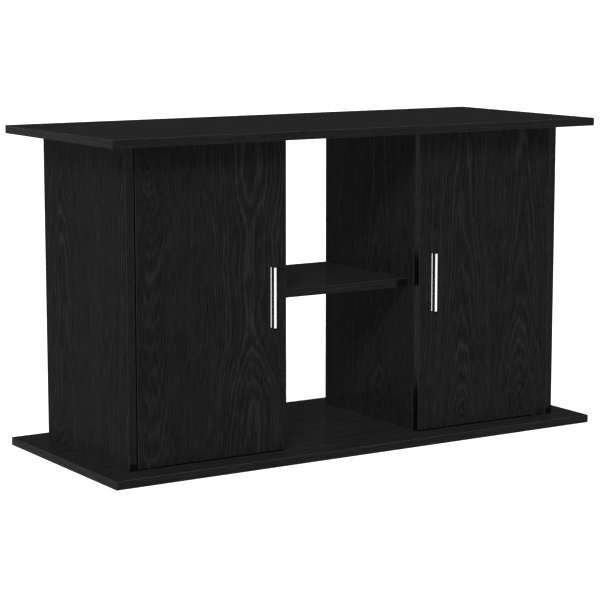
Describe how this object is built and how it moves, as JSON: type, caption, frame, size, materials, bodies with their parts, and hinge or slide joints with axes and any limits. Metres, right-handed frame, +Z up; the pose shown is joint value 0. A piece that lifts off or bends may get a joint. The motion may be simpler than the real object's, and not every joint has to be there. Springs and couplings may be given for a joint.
{
  "type": "aquarium stand cabinet",
  "caption": "Aquarium stand cabinet with overhanging top and base plates, two hinged doors with bar handles, and an open middle bay with a shelf.",
  "frame": {"origin": "middle of the footprint, on the floor under the base plate", "axes": "+Z up, +X to the right seen from the front, the doors face -Y"},
  "size_m": [1.01, 0.41, 0.58],
  "materials": {
    "black_oak_board": "black oak-effect foil, semi-gloss, fine grain",
    "handle_metal": "polished bright metal",
    "plated_steel": "zinc plated",
    "blackened_steel": "black oxide",
    "dowel_beech": "plain fluted beech",
    "black_plastic": "moulded black plastic",
    "magnet": "sintered ferrite",
    "clear_buffer": "soft translucent"
  },
  "bodies": {
    "carcass": {"base_dowels": "dowel_beech", "base_panel": "black_oak_board", "base_pivot_bushes": "black_plastic", "base_screws": "plated_steel", "cam_bolts": "plated_steel", "cam_caps": "black_plastic", "cam_discs": "plated_steel", "left_back_panel": "black_oak_board", "left_catch_housing": "black_plastic", "left_catch_magnet": "magnet", "left_catch_poles": "plated_steel", "left_catch_screws": "plated_steel", "left_divider": "black_oak_board", "left_side_panel": "black_oak_board", "middle_shelf": "black_oak_board", "right_back_panel": "black_oak_board", "right_catch_housing": "black_plastic", "right_catch_magnet": "magnet", "right_catch_poles": "plated_steel", "right_catch_screws": "plated_steel", "right_divider": "black_oak_board", "right_side_panel": "black_oak_board", "shelf_dowels": "dowel_beech", "shelf_screws": "plated_steel", "top_dowels": "dowel_beech", "top_panel": "black_oak_board", "top_pivot_bushes": "black_plastic"},
    "left_door_leaf": {"left_door": "black_oak_board", "left_handle": "handle_metal", "left_handle_screws": "plated_steel", "left_pivot_pins": "blackened_steel", "left_pivot_washers": "black_plastic", "left_strike_plate": "plated_steel", "left_strike_screw": "plated_steel", "left_door_buffers": "clear_buffer"},
    "right_door_leaf": {"right_door": "black_oak_board", "right_handle": "handle_metal", "right_handle_screws": "plated_steel", "right_pivot_pins": "blackened_steel", "right_pivot_washers": "black_plastic", "right_strike_plate": "plated_steel", "right_strike_screw": "plated_steel", "right_door_buffers": "clear_buffer"}
  },
  "joints": [
    {"name": "left_door_swing", "type": "hinge", "parent": "carcass", "child": "left_door_leaf", "pos_m": [-0.416, -0.1475, 0.015], "axis": [0, 0, -1], "range_deg": [0, 120]},
    {"name": "right_door_swing", "type": "hinge", "parent": "carcass", "child": "right_door_leaf", "pos_m": [0.416, -0.1475, 0.015], "axis": [0, 0, 1], "range_deg": [0, 120]}
  ]
}
